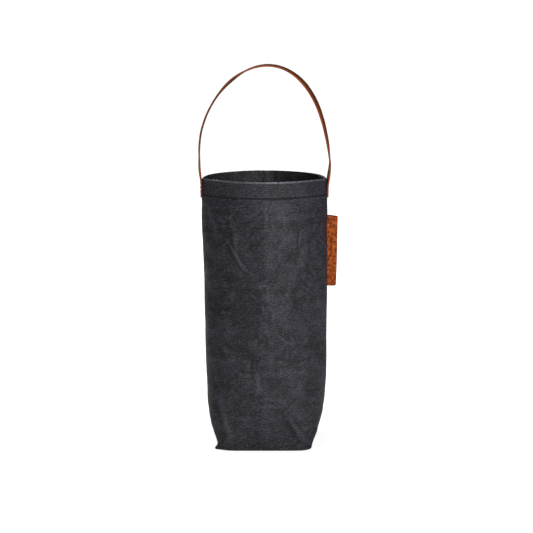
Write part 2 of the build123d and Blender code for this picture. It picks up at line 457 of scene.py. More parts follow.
class Panel:
    """The middle surface of one panel's wall, as a grid of rows up the bag and columns across it."""

    def __init__(self, side, sag_heights, sag):
        self.side = side
        self.columns = 2 * round(panel_half_width / grid) + 1
        hem_start, hem_end = hem_line - 4 * MM, hem_line + 4 * MM
        self.z = np.concatenate((
            np.linspace(bottom_radius, hem_start, round(hem_start / grid)),
            np.linspace(hem_start, hem_end, 13)[1:],  # closer, for the dent of the hem's stitches
            np.linspace(hem_end, rim_z - cloth, 11)[1:],
        ))
        rows = [half_outline(side, z, self.columns) for z in self.z]
        x, y, s = (np.array([row[i] for row in rows]) for i in range(3))
        z = np.repeat(self.z[:, None], self.columns, 1)
        length = s[:, -1:]
        self.from_seam = np.minimum(s, length - s)
        self.s = s - length / 2
        base = np.stack((x, y, z), 2)
        # The cloth is held still at the seams, the base edge and the rim
        near_seam = smooth_step(0, 26 * MM, self.from_seam)
        near_base = smooth_step(4 * MM, 26 * MM, z)
        near_rim = 1 - 0.75 * smooth_step(hem_line - 8 * MM, hem_line + 2 * MM, z)
        self.relief = crease_relief(side, self.s, z) * near_seam * near_base * near_rim
        below_hem = 1 - smooth_step(hem_line - 12 * MM, hem_line, z)
        self.relief += self.sampled(sag_heights, sag) * below_hem * (0.25 + 0.75 * near_seam)
        push = self.relief * (0.35 + 0.65 * near_base) + hem_relief(self.s, z, self.from_seam)
        below_strap = 1 - smooth_step(hem_low - 10 * MM, hem_low - 1 * MM, z)
        push -= seam_groove * bell(self.from_seam, seam_groove_width) * below_strap
        if side == BACK:
            for height, width, middle in back_rim_folds:
                fold = height * MM * bell(self.s - middle * MM, width * MM)
                push += fold * smooth_step(hem_line - 24 * MM, hem_line + 2 * MM, z)
        points = base + self.normals(base) * push[:, :, None]
        # The rim hangs a little lower where the strap is sewn on
        points[:, :, 2] = z - 1.3 * MM * bell(self.from_seam, 11 * MM) * smooth_step(hem_line, rim_z, z)
        diagonal = np.stack((np.sign(x), 0.45 * np.sign(y), np.zeros_like(x)), 2)
        points += diagonal * corner_push(points[:, :, 0], points[:, :, 1], z)[:, :, None]
        # The two panels lie face to face at the seam
        points[:, :, 1] = side * np.hypot(points[:, :, 1], self.seam_half(z, x))
        self.points = points
        self.out = self.normals(points)

    def sampled(self, sag_heights, sag):
        """The simulated sag at the points of this panel's grid."""
        row = np.interp(self.z, sag_heights, np.arange(len(sag_heights)))[:, None]
        column = np.linspace(0, 1, self.columns)[None, :] * sag.shape[1] / 2
        if self.side == BACK:
            column = sag.shape[1] - column
        return cubic_sample(sag, *np.broadcast_arrays(row, column))

    def seam_half(self, z, x):
        """Distance of the panel's middle surface from Y = 0 at the seam: more where the tag is held."""
        root_half = (root_high.y - root_low.y) / 2
        beside = smooth_step(root_low.z - 9 * MM, root_low.z - 1 * MM, z)
        beside = beside * (1 - smooth_step(root_high.z + 1 * MM, root_high.z + 9 * MM, z))
        return layer_step / 2 + np.where(x > 0, beside * (root_half + layer_gap), 0)

    def normals(self, points):
        across, up = np.gradient(points, axis=1), np.gradient(points, axis=0)
        return unit(np.cross(across, up)) * (-1 if self.side == BACK else 1)

    def at(self, column, z):
        """Point, outward direction and direction across, at a fractional column and a height."""
        row = np.interp(z, self.z, np.arange(len(self.z)))
        r, c = min(int(row), len(self.z) - 2), min(int(column), self.columns - 2)
        fr, fc = row - r, column - c

        def mix(field):
            low = field[r, c] * (1 - fc) + field[r, c + 1] * fc
            high = field[r + 1, c] * (1 - fc) + field[r + 1, c + 1] * fc
            return low * (1 - fr) + high * fr

        return mix(self.points), unit(mix(self.out)), unit(self.points[r, c + 1] - self.points[r, c])


# ---------------------------------------------------------------- meshes

def make_object(name, points, faces, flat, attributes=None):
    """A smooth-shaded object. flat holds a flat-pattern coordinate in metres for each face corner."""
    mesh = bpy.data.meshes.new(name)
    mesh.from_pydata(np.asarray(points).tolist(), [], [list(map(int, face)) for face in faces])
    layer = mesh.uv_layers.new(name="flat")
    layer.data.foreach_set("uv", np.asarray(flat, np.float32).ravel())
    for label, values in (attributes or {}).items():
        attribute = mesh.attributes.new(label, "FLOAT", "POINT")
        attribute.data.foreach_set("value", np.asarray(values, np.float32).ravel())
    mesh.polygons.foreach_set("use_smooth", [True] * len(mesh.polygons))
    mesh.set_sharp_from_angle(angle=math.radians(50))
    mesh.update()
    piece = bpy.data.objects.new(name, mesh)
    bpy.context.scene.collection.objects.link(piece)
    return piece


def dress(piece, material, slot, *nodes):
    """Give a piece its material, and hide the CAD nodes it replaces. slot is not used."""
    piece.data.materials.append(material)
    if nodes:
        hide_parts(*nodes)


def grid_faces(shape, turned):
    """The quads between the points of a grid. turned makes them face the other way."""
    index = np.arange(math.prod(shape)).reshape(shape)
    corners = (index[:-1, :-1], index[:-1, 1:], index[1:, 1:], index[1:, :-1])
    return np.stack([corner.ravel() for corner in corners[::-1 if turned else 1]], 1)


def vertex_normals(points, faces):
    """Area-weighted normals of a mesh of quads."""
    corners = points[faces]
    face_normals = np.cross(corners[:, 2] - corners[:, 0], corners[:, 3] - corners[:, 1])
    normals = np.zeros_like(points)
    for corner in range(4):
        np.add.at(normals, faces[:, corner], face_normals)
    return unit(normals)


def thicken(points, faces, thickness):
    """The points and faces of a sheet's two sides and its cut edges."""
    half = vertex_normals(points, faces) * thickness / 2
    edges = [(a, b) for k in range(4) for a, b in faces[:, (k, (k + 1) % 4)].tolist()]
    known = set(edges)
    count = len(points)
    rim = np.array([(b, a, a + count, b + count) for a, b in edges if (b, a) not in known])
    both = np.concatenate((points + half, points - half))
    return both, np.concatenate((faces, faces[:, ::-1] + count, rim))


# ---------------------------------------------------------------- the two panels

fold_radius = layer_step / 2
fin_steps = (0.9 * MM, 2.2 * MM, 4.0 * MM, 6.0 * MM, seam_allowance)
fin_low, fin_high = bottom_radius - 0.1 * MM, hem_low - 1 * MM


def fin_lean(inward):
    """How far back both seam allowances bow at a distance inward from the seam, so no light comes through."""
    return 0.6 * MM * math.sin(math.pi * inward / seam_allowance)


def panel_sheet(panel):
    """The whole sheet of one panel, folded as it is sewn: rows of points with their flat coordinates.

    The rows run from the base seam's allowance, across the base, up the wall, over the rim and down
    the inside of the hem. The columns run across, with the seam allowances beyond both ends.
    """
    side = panel.side
    wall, out = panel.points, unit(panel.out * (1, 1, 0))
    count = panel.columns
    seam_y = side * layer_step / 2
    base_z = cloth / 2
    turn = bottom_radius - base_z
    foot = wall[0] - out[0] * turn
    foot[:, 2] = base_z
    seam = np.array([(x, seam_y, base_z) for x in np.linspace(foot[0, 0], foot[-1, 0], count)])
    rows, flats = [], []

    def add(points, flat_x, flat_y):
        rows.append(points)
        flats.append(np.stack((flat_x, np.broadcast_to(flat_y, count)), 1))

    for back, up in ((seam_allowance, 1), (4 * MM, 1), (0.7 * MM, 1), (0.1 * MM, 0.6)):
        add(seam + np.array((0, side * back, up * layer_step)), seam[:, 0], seam_y - side * back)
    for share in np.arange(base_rows) / base_rows:
        points = seam + (foot - seam) * share
        add(points, points[:, 0], points[:, 1])
    for angle in np.radians((90, 67, 45, 22)):
        points = wall[0] - out[0] * turn * (1 - math.cos(angle))
        points[:, 2] = base_z + turn * (1 - math.sin(angle))
        add(points, panel.s[0], points[:, 2])
    first_wall = len(rows)
    for r, z in enumerate(panel.z):
        add(wall[r], panel.s[r], z)
    for angle in np.radians((30, 60, 90, 120, 150)):
        points = wall[-1] - out[-1] * fold_radius * (1 - math.cos(angle))
        points[:, 2] = wall[-1][:, 2] + fold_radius * math.sin(angle)
        add(points, panel.s[-1], rim_z + angle * fold_radius)
    for r in np.flatnonzero(panel.z >= hem_low)[::-1]:
        add(wall[r] - out[r] * 2 * fold_radius, panel.s[r], 2 * rim_z - wall[r][:, 2])
    return np.array(rows), np.array(flats), first_wall


def panel_marks(panel, rows_before, rows_total):
    """Where the cloth is marked, by row and column of the sheet.

    wear_and_painted_light is how much a point stands proud of the cloth round it: paler where it
    stands proud, as wax and colour rub off, darker in its small dents, which is painted shade, and paler
    in a line just under the hem, a painted highlight. edge is the fold of the rim, worn and with a
    painted highlight, brightest near the front's middle. sewn is the dark line of the hem's stitching:
    the thread's colour and painted shade in its dent. inside is painted shade on the turned-in cloth of
    the back's hem, most of all on the right. patch is the paler and darker patches of the front: uneven
    wax, and painted light and shade.
    """
    around = sum(np.roll(panel.relief, shift, axis) for shift, axis in ((2, 0), (-2, 0), (2, 1), (-2, 1)))
    proud = np.clip((panel.relief - around / 4) / (0.16 * MM), -1, 1)
    heights = panel.z[:, None] + 0 * proud
    proud *= 1 - smooth_step(hem_line - 12 * MM, hem_line - 6 * MM, heights)
    proud[[0, 1]] = 0
    fold = rows_before + len(panel.z)
    outside = slice(rows_before, fold)
    wear_and_painted_light, edge, sewn, inside, waxed = np.zeros((5, rows_total, panel.columns))
    # Paler where the cloth stands proud, as worn wax; darker in its small dents, which is painted shade; and
    # a painted highlight along the ridge just under the hem
    wear_and_painted_light[outside] = proud + 0.3 * bell(heights - (hem_line - 2 * MM), 0.8 * MM)
    if panel.side == FRONT:
        for strength, line in front_scratches:
            wear_and_painted_light[outside] += 2 * strength * stroke(panel.s, heights, np.array(line) * MM, scratch_width)
        # Uneven wax together with painted light and shade of the front's broad folds
        for strength, across, up, middle in front_wax_and_light_patches:
            waxed[outside] += strength * patch(panel.s, heights, across, up, middle)
    # The rim's fold: worn wax and a painted highlight, brightest near the front's middle
    rim_highlight_and_scuff = 0.45 + 0.55 * bell(panel.s - 10 * MM, 15 * MM) * (panel.side == FRONT)
    edge[outside] = 0.8 * rim_highlight_and_scuff * smooth_step(rim_z - 1.7 * MM, rim_z - 0.9 * MM, heights)
    edge[fold:fold + 3] = rim_highlight_and_scuff[-1]
    # The hem's dark stitch line: the thread's colour carried along it, and painted shade in the stitched dent
    sewn[outside] = bell(heights - hem_line, 0.6 * MM) * smooth_step(3 * MM, 7 * MM, panel.from_seam)
    # Painted shade on the turned-in cloth of the back's hem, darkest on the right
    if panel.side == BACK:
        inside[fold + 4:] = 0.25 + 0.75 * smooth_step(3 * MM, 9 * MM, panel.s[-1])
    return {"wear_and_painted_light": wear_and_painted_light, "edge": edge, "sewn": sewn, "inside": inside, "patch": waxed}


def build_cloth(name, nodes, points, faces, material, flat=None, marks=None):
    """A piece of cloth from its middle surface. Without flat, the cloth is taken to lie flat already."""
    shell_points, shell_faces = thicken(points, faces, cloth)
    flat = shell_points[:, :2] if flat is None else np.tile(flat, (2, 1))
    marks = {label: np.tile(values, 2) for label, values in (marks or {}).items()}
    piece = make_object(name, shell_points, shell_faces, flat[shell_faces.ravel()], marks)
    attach(piece, "bag")
    dress(piece, material, "canvas", *nodes)


def build_panel(name, node, panel, material):
    """One whole panel: its sheet, and the seam allowances that stand inward along both side seams."""
    sheet, flats, first_wall = panel_sheet(panel)
    fins = len(fin_steps)
    points = np.pad(sheet, ((0, 0), (fins, fins), (0, 0)), constant_values=np.nan)
    flat = np.pad(flats, ((0, 0), (fins, fins), (0, 0)))
    for i in range(first_wall, first_wall + len(panel.z)):
        if not fin_low < sheet[i, 0, 2] < fin_high:
            continue
        for k, step in enumerate(fin_steps):
            for end, column in ((0, fins - 1 - k), (-1, fins + panel.columns + k)):
                inward = -step * np.sign(sheet[i, end, 0])
                points[i, column] = sheet[i, end] + np.array((inward, fin_lean(step), 0))
                flat[i, column] = flats[i, end] - np.array((inward, 0))
    faces = grid_faces(points.shape[:2], panel.side == BACK)
    points, flat = points.reshape(-1, 3), flat.reshape(-1, 2)
    whole = ~np.isnan(points[faces, 0]).any(axis=1)
    used, faces = np.unique(faces[whole], return_inverse=True)
    marks = {label: np.pad(values, ((0, 0), (fins, fins))).ravel()[used]
             for label, values in panel_marks(panel, first_wall, len(sheet)).items()}
    build_cloth(name, [node], points[used], faces.reshape(-1, 4), material, flat[used], marks)


# ---------------------------------------------------------------- seam allowances over the boxed corners

def build_corner_strip(name, side, material):
    """The allowance of one boxed corner seam, pressed flat over the base along its side edge."""
    edge_x = wall_stations[0, 1] - bottom_radius
    x = side * np.linspace(edge_x - seam_allowance, edge_x - 0.6 * MM, 7)
    grid_x, grid_y = np.meshgrid(x, np.linspace(-corner_strip_half, corner_strip_half, 50))
    wavy = 0.25 * MM * np.abs(np.sin(grid_y / (6 * MM))) * np.linspace(1, 0, 7) ** 3
    # It passes over the two layers of the base seam in the middle
    over_seam = 1 - smooth_step(seam_allowance - 1 * MM, seam_allowance + 2.5 * MM, np.abs(grid_y))
    grid_z = 1.5 * cloth + layer_gap + wavy + layer_step * over_seam
    points = np.stack((grid_x, grid_y, grid_z), 2).reshape(-1, 3)
    build_cloth(name, [], points, grid_faces(grid_x.shape, side == LEFT), material)


# ---------------------------------------------------------------- thread

def stitch_template():
    """One stitch lying along X with +Z away from the cloth: two twisted plies that dip at both ends."""
    around, along = 12, 11
    rings = []
    for k in range(along):
        t = 2 * k / (along - 1) - 1
        dip = 0.75 * thread_radius * t ** 4
        swell = math.sqrt(max(0.0, 1 - (0.96 * t) ** 8))
        for j in range(around):
            angle = 2 * math.pi * j / around
            ply = 1 + 0.16 * math.cos(2 * angle - 5.5 * t)
            r = thread_radius * swell * ply
            rings.append((t * stitch_length / 2, r * math.cos(angle), r * math.sin(angle) - dip))
    faces = []
    for k in range(along - 1):
        for j in range(around):
            a, b = k * around + j, k * around + (j + 1) % around
            faces.append((a, b, b + around, a + around))
    faces.append(tuple(range(around))[::-1])
    faces.append(tuple(range((along - 1) * around, along * around)))
    return np.array(rings), faces


stitch_points, stitch_faces = stitch_template()


def build_thread(name, node, places, material):
    """All stitches of one seam. Each place is a point on the cloth, the way out and the way along."""
    points, faces, flat = [], [], []
    for number, (point, out, along) in enumerate(places):
        out, along = np.array(out, float), np.array(along, float)
        along = unit(along - out * along.dot(out))
        lean = rng.normal(0, 0.05)
        across = np.cross(out, along)
        along, across = along + lean * across, across - lean * along
        seat = np.array(point) + out * thread_radius * 0.55
        local = stitch_points * np.array((rng.uniform(0.94, 1.04), 1, 1))
        start = number * len(stitch_points)
        points.append(seat + local @ np.array((along, across, out)))
        for face in stitch_faces:
            faces.append([corner + start for corner in face])
            flat += [(local[c, 0] + number * 7 * MM, local[c, 1]) for c in face]
    piece = make_object(name, np.concatenate(points), faces, flat)
    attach(piece, "bag")
    dress(piece, material, "thread", node)


def hem_places(panels):
    places = []
    clear = (strap_high.y - strap_low.y) / 2 + stitch_length
    for panel in panels:
        row = int(np.argmin(np.abs(panel.z - hem_line)))
        length = running_length(panel.points[row])
        for at in np.arange(clear, length[-1] - clear + 1e-6, stitch_pitch):
            point, out, across = panel.at(np.interp(at, length, np.arange(panel.columns)), hem_line)
            places.append((point + out * cloth / 2, out, across))
    return places


def row_places(start, end, out):
    start, end = np.array(start, float), np.array(end, float)
    count = max(1, round(np.linalg.norm(end - start) / stitch_pitch))
    return [(start + (end - start) * (i + 0.5) / count, out, unit(end - start)) for i in range(count)]


def strap_places(side):
    """The rectangle sewn through one end of the strap."""
    x = side * (sewn_x + strap_half_thickness - stitch_depth)
    half = stitch_half_width
    corners = [(x, -half, hem_line), (x, half, hem_line), (x, half, stitch_top), (x, -half, stitch_top)]
    places = []
    for start, end in zip(corners, corners[1:] + corners[:1]):
        places += row_places(start, end, (side, 0, 0))
    return places


def side_seam_places(panels, side):
    """Both faces of one side seam's allowance."""
    places = []
    inset = 4.2 * MM
    for z in np.arange(8 * MM, fin_high - 4 * MM, stitch_pitch):
        for panel in panels:
            x, y, _ = panel.at(0 if side == LEFT else panel.columns - 1.001, z)[0]
            point = (x - side * inset, y + fin_lean(inset) + panel.side * cloth / 2, z)
            places.append((point, (0, panel.side, 0), (0, 0, 1)))
    return places


def base_seam_places():
    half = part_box("base_seam_thread")[1].x
    places = []
    for y in (FRONT * 3 * MM, BACK * 3 * MM):
        places += row_places((-half, y, corner_strip_top), (half, y, corner_strip_top), (0, 0, 1))
    return places


def corner_seam_places(side):
    low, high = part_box("corner_seam_thread_right")
    x = side * (low.x + high.x) / 2
    inner = seam_allowance + 1 * MM
    places = []
    for start, end in ((low.y, -inner), (inner, high.y)):
        places += row_places((x, start, corner_strip_top), (x, end, corner_strip_top), (0, 0, 1))
    return places


# ---------------------------------------------------------------- ribbons: the strap and the tag

def ribbon_section(turn_points=5, side_points=9):
    """A rounded section as (across, out, how much of a corner is rounded across and out).

    across and out run from -1 to 1 and are scaled to the ribbon's half width and half thickness, less
    the corner's radius, which the last two are scaled by.
    """
    section = []
    for turn_x, turn_y, first in ((1, 1, 0), (-1, 1, 90), (-1, -1, 180), (1, -1, 270)):
        for angle in np.radians(np.linspace(first, first + 90, turn_points)):
            section.append((turn_x, turn_y, math.cos(angle), math.sin(angle)))
        if turn_x == turn_y:
            for share in np.linspace(0, 1, side_points + 2)[1:-1]:
                section.append((turn_x * (1 - 2 * share), turn_y, 0, turn_y))
    return np.array(section)


section = ribbon_section()


def build_ribbon(name, centres, wide, out, half_widths, half_thickness, corner, relief):
    """A strip of leather swept along centres, with rounded edges and closed ends.

    wide and out are unit directions at each centre. relief(across, length, face) gives the outward
    displacement in metres. The attribute "cut" is 1 on the cut edges, and "groove" is what relief
    pressed in.
    """
    count, around = len(centres), len(section)
    length = running_length(centres)
    flat_across, flat_out, round_across, round_out = section.T
    across = flat_across * (half_widths[:, None] - corner) + round_across * corner
    face = np.broadcast_to(np.sign(flat_out) * (np.abs(round_out) > 0.99), across.shape)
    pressed = relief(across, np.broadcast_to(length[:, None], across.shape), face)
    lift = flat_out * (half_thickness - corner) + round_out * corner
    lift = lift + np.sign(lift) * pressed
    points = centres[:, None] + wide[:, None] * across[:, :, None] + out[:, None] * lift[:, :, None]
    cut = np.tile(np.clip((np.abs(round_across) - 0.3) / 0.4, 0, 1), (count, 1))
    cut[[0, -1]] = 1
    rim = running_length(points[count // 2])
    rim = np.append(rim, rim[-1] + 0.5 * MM)
    faces, flat = [], []
    for i in range(count - 1):
        for j in range(around):
            k = (j + 1) % around
            faces.append((i * around + j, i * around + k, (i + 1) * around + k, (i + 1) * around + j))
            flat += [(length[i], rim[j]), (length[i], rim[j + 1]),
                     (length[i + 1], rim[j + 1]), (length[i + 1], rim[j])]
    for ring in (list(range(around))[::-1], [(count - 1) * around + j for j in range(around)]):
        faces.append(ring)
        flat += [(across.ravel()[c], lift.ravel()[c]) for c in ring]
    if np.cross(wide[0], out[0]).dot(centres[1] - centres[0]) < 0:  # the faces look inward
        ends = running_total([len(face) for face in faces]).astype(int)
        flat = [corner for start, end in zip(ends, ends[1:]) for corner in flat[start:end][::-1]]
        faces = [face[::-1] for face in faces]
    attributes = {"cut": cut, "groove": np.clip(-pressed / (0.2 * MM), 0, 1)}
    return make_object(name, points.reshape(-1, 3), faces, flat, attributes)


def resample(path, spacing):
    """Points evenly spaced along a polyline."""
    length = running_length(path)
    at = np.linspace(0, length[-1], round(length[-1] / spacing))
    return np.stack([np.interp(at, length, column) for column in path.T], 1)


def relaxed(values, times):
    """Takes the small corners off where the tables have their points. The two ends stay."""
    for _ in range(times):
        values[1:-1] = (values[:-2] + 2 * values[1:-1] + values[2:]) / 4
    return values


def rounded_ends(length, radius):
    """How far a ribbon's half width is drawn in near its two ends, for rounded corners."""
    from_end = np.minimum(length, length[-1] - length)
    return radius - np.sqrt(np.maximum(radius ** 2 - np.maximum(radius - from_end, 0) ** 2, 0))


arch_base = 0.316
arch_half_span = strap_high.x - strap_half_thickness
arch_rise = strap_high.z - strap_half_thickness - arch_base
arch_power = 1.97  # 2 is an ellipse; less is a little more pointed
shoulder_z, crown_z = 0.38, 0.42  # the strap stands furthest out of its plane between these heights

# Sideways lean of the arch, in millimetres, at each height in millimetres
strap_lean = ((275, 0), (300, 0), (314, 0.3), (326, -0.6), (346, -1.4), (364, -0.9), (388, 0.8), (421, 3.8))
# Twist in degrees as the strap goes up the right leg (height) and down the left (twice the top, less height)
strap_twist_right = ((275, 0), (288, 0), (296, -9), (301, -8), (309, -1), (322, 3), (332, 8), (349, 12),
                     (376, 16), (400, 15), (412, 8), (420, 2))
strap_twist_left = ((418, 1), (411, -3), (404, -13), (397, -11), (390, -4), (376, -2), (350, -1), (324, 1),
                    (310, 7), (302, 9), (292, 3), (275, 0))


def strap_path():
    """Centres of the strap from the foot of the right end, over the top, to the foot of the left."""
    leg_z = np.linspace(end_low.z, arch_base, 60)
    spread = smooth_step(rim_z - 11 * MM, arch_base - 4 * MM, leg_z)
    leg_x = sewn_x + (arch_half_span + 0.3 * MM - sewn_x) * spread
    angle = np.linspace(0, math.pi, 240)
    power = 2 / arch_power
    arch_x = arch_half_span * np.sign(np.cos(angle)) * np.abs(np.cos(angle)) ** power
    arch_z = arch_base + arch_rise * np.sin(angle) ** power
    x = np.concatenate((leg_x, arch_x[1:-1], -leg_x[::-1]))
    z = np.concatenate((leg_z, arch_z[1:-1], leg_z[::-1]))
    x = x + np.interp(z, *np.array(strap_lean).T * MM)
    shoulder = smooth_step(rim_z + 6 * MM, shoulder_z, z) * (1 - 0.35 * smooth_step(shoulder_z, crown_z, z))
    y = -5.5 * MM * (x / arch_half_span) * shoulder  # one shoulder stands forward, the other back
    return relaxed(resample(np.stack((x, y, z), 1), 1.25 * MM), 6)


def strap_twist(path):
    """Twist about the strap's own length, in radians, at each point of its path."""
    top = int(np.argmax(path[:, 2]))
    crown = path[top, 2]
    travelled = np.where(np.arange(len(path)) <= top, path[:, 2], 2 * crown - path[:, 2])
    stations = [(z * MM, twist) for z, twist in strap_twist_right]
    stations += [(2 * crown - z * MM, twist) for z, twist in strap_twist_left]
    return np.radians(relaxed(np.interp(travelled, *np.array(stations).T), 30))


def build_strap(material):
    path = strap_path()
    along = unit(np.gradient(path, axis=0))
    wide = unit(np.array((0.0, 1.0, 0.0)) - along * along[:, 1:2])
    out = np.cross(wide, along)
    twist = strap_twist(path)[:, None]
    wide, out = wide * np.cos(twist) + out * np.sin(twist), out * np.cos(twist) - wide * np.sin(twist)
    length = running_length(path)
    half_widths = strap_half_width - rounded_ends(length, 1.2 * MM)
    half_widths += 0.12 * MM * np.sin(length / (23 * MM)) * smooth_step(0, 30 * MM, length)
    low_stitch, high_stitch = hem_line - end_low.z, stitch_top - end_low.z
    dent = 0.6 * MM  # half width of the dent that the stitches press into the leather

    def relief(across, at, face):
        from_end = np.minimum(at, length[-1] - at)
        inside = smooth_step(low_stitch - 1 * MM, low_stitch, from_end)
        inside = inside * (1 - smooth_step(high_stitch, high_stitch + 1 * MM, from_end))
        sides = bell(np.abs(across) - stitch_half_width, dent) * inside
        bars = bell(from_end - low_stitch, dent) + bell(from_end - high_stitch, dent)
        bars = bars * (np.abs(across) < stitch_half_width + 0.5 * MM)
        press = -stitch_depth * np.clip(sides + bars, 0, 1) * (face > 0)
        worn = 0.025 * MM * np.sin(at / (3.1 * MM) + 2 * np.sin(at / (7 * MM)))
        return press + worn * (np.abs(across) > strap_half_width - 1.5 * MM)

    sizes = half_widths, strap_half_thickness, 0.65 * MM
    strap = build_ribbon("handle_strap", path, wide, out, *sizes, relief)
    darken_left_edge(strap)
    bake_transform(strap)
    dress(strap, material, "strap_leather", "strap_loop", "strap_end_left", "strap_end_right")


def darken_left_edge(strap):
    """Part of the left leg's cut edge is drawn darker, nearly as dark as the faces."""
    count = len(strap.data.vertices)
    places, cut = np.empty(count * 3), np.empty(count)
    strap.data.vertices.foreach_get("co", places)
    strap.data.attributes["cut"].data.foreach_get("value", cut)
    x, z = places[0::3], places[2::3]
    darker_stretch = smooth_step(0.322, 0.345, z) * (1 - smooth_step(0.398, 0.416, z)) * (x < 0)
    strap.data.attributes["cut"].data.foreach_set("value", cut * (1 - 0.6 * darker_stretch))


def build_tag(material):
    """The tag, from its sewn margin inside the seam to its free edge, which runs in a little lower down."""
    low, high = root_low.z, flap_high.z + 0.6 * MM
    heights = np.linspace(low, high, 62)
    share = (heights - low) / (high - low)
    inner = root_low.x
    outer = flap_high.x - 1.7 * MM * (1 - share) + 0.25 * MM * np.sin(5 * share)
    centres = np.stack(((inner + outer) / 2, 0.12 * MM * np.sin(9 * share), heights), 1)
    wide = np.tile((1.0, 0.0, 0.0), (len(heights), 1))
    out = np.tile((0.0, -1.0, 0.0), (len(heights), 1))
    half_thickness = (flap_high.y - flap_low.y) / 2
    half_widths = (outer - inner) / 2 - rounded_ends(heights - low, 0.8 * MM)

    def relief(across, at, face):
        edge = (outer - inner)[:, None] / 2 - across
        crease = -0.22 * MM * bell(edge - 1.25 * MM, 0.28 * MM)
        swell = 0.05 * MM * np.sin(at / (4.3 * MM)) * np.sin(across / (2.7 * MM))
        return (crease + swell) * (face != 0)

    tag = build_ribbon("side_tag", centres, wide, out, half_widths, half_thickness, 0.5 * MM, relief)
    # The top slopes down a little towards the free edge, and the free edge curls
    free = smooth_step(tag_hinge_x, flap_high.x, np.array([v.co.x for v in tag.data.vertices]))
    for vertex, f in zip(tag.data.vertices, free):
        vertex.co.z -= 1.3 * MM * f * smooth_step(low, high, vertex.co.z)
        vertex.co.y += 0.5 * MM * f * math.sin((vertex.co.z - low) / (high - low) * 4.0 - 0.6)
    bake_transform(tag)
    dress(tag, material, "tag_leather", "tag_flap", "tag_root")


# ---------------------------------------------------------------- materials

class Nodes:
    """The node tree of a material or a world, written as short calls. A socket given as input is linked."""

    def __init__(self, owner):
        owner.use_nodes = True
        self.owner, self.tree = owner, owner.node_tree
        self.tree.nodes.clear()

    def feed(self, socket, value):
        if isinstance(value, bpy.types.NodeSocket):
            self.tree.links.new(value, socket)
        else:
            socket.default_value = value

    def add(self, kind, inputs, **settings):
        node = self.tree.nodes.new(kind)
        for key, value in settings.items():
            setattr(node, key, value)
        for key, value in inputs.items():
            self.feed(node.inputs[key], value)
        return node

    def flat(self):
        return self.add("ShaderNodeUVMap", {}, uv_map="flat").outputs["UV"]

    def place(self):
        return self.add("ShaderNodeTexCoord", {}).outputs["Object"]

    def seen(self):
        """1 where the camera sees the thing itself, 0 where only light meets it."""
        return self.add("ShaderNodeLightPath", {}).outputs["Is Camera Ray"]

    def attribute(self, label):
        return self.add("ShaderNodeAttribute", {}, attribute_name=label).outputs["Fac"]

    def plus(self, a, b):
        return self.add("ShaderNodeMath", {0: a, 1: b}, operation="ADD").outputs[0]

    def minus(self, a, b):
        return self.add("ShaderNodeMath", {0: a, 1: b}, operation="SUBTRACT").outputs[0]

    def times(self, a, b):
        return self.add("ShaderNodeMath", {0: a, 1: b}, operation="MULTIPLY").outputs[0]

    def weighted(self, *parts):
        """The sum of the parts, each given as a value and its weight."""
        total, *rest = [self.times(value, weight) for value, weight in parts]
        for part in rest:
            total = self.plus(total, part)
        return total

    def noise(self, vector, scale, detail=2.0, roughness=0.5):
        inputs = {"Vector": vector, "Scale": scale, "Detail": detail, "Roughness": roughness}
        return self.add("ShaderNodeTexNoise", inputs).outputs["Fac"]

    def stretched_noise(self, vector, scale_x, scale_y, *settings):
        stretched = self.add("ShaderNodeMapping", {"Vector": vector, "Scale": (scale_x, scale_y, 1)})
        return self.noise(stretched.outputs["Vector"], *settings)

    def bands(self, vector, direction, pitch, distortion, detail_scale):
        inputs = {"Vector": vector, "Scale": 2 * math.pi / 20 / pitch, "Distortion": distortion,
                  "Detail": 2.0, "Detail Scale": detail_scale}
        return self.add("ShaderNodeTexWave", inputs, bands_direction=direction).outputs["Fac"]

    def levels(self, value, low, high, to_low=0.0, to_high=1.0):
        inputs = {"Value": value, "From Min": low, "From Max": high, "To Min": to_low, "To Max": to_high}
        return self.add("ShaderNodeMapRange", inputs).outputs["Result"]

    def mix(self, share, a, b):
        """Colour a where share is 0, b where it is 1. Its sockets share their names, so they go by number."""
        return self.add("ShaderNodeMix", {0: share, 6: a, 7: b}, data_type="RGBA").outputs[2]

    def bumps(self, *layers):
        """Layers of bumps on each other, each given as a height, a distance and a strength."""
        normal = {}
        for height, distance, strength in layers:
            inputs = {"Height": height, "Distance": distance, "Strength": strength, **normal}
            normal = {"Normal": self.add("ShaderNodeBump", inputs).outputs["Normal"]}
        return normal["Normal"]

    def finish(self, **inputs):
        """The finished material. In an input's name an underscore stands for a space."""
        inputs = {label.replace("_", " "): value for label, value in inputs.items()}
        shader = self.add("ShaderNodeBsdfPrincipled", inputs)
        self.add("ShaderNodeOutputMaterial", {"Surface": shader.outputs["BSDF"]})
        return self.owner


def rgb(red, green, blue):
    return (red, green, blue, 1.0)


def grey(value, tint=(1.0, 1.0, 1.0)):
    return rgb(*(value * part for part in tint))


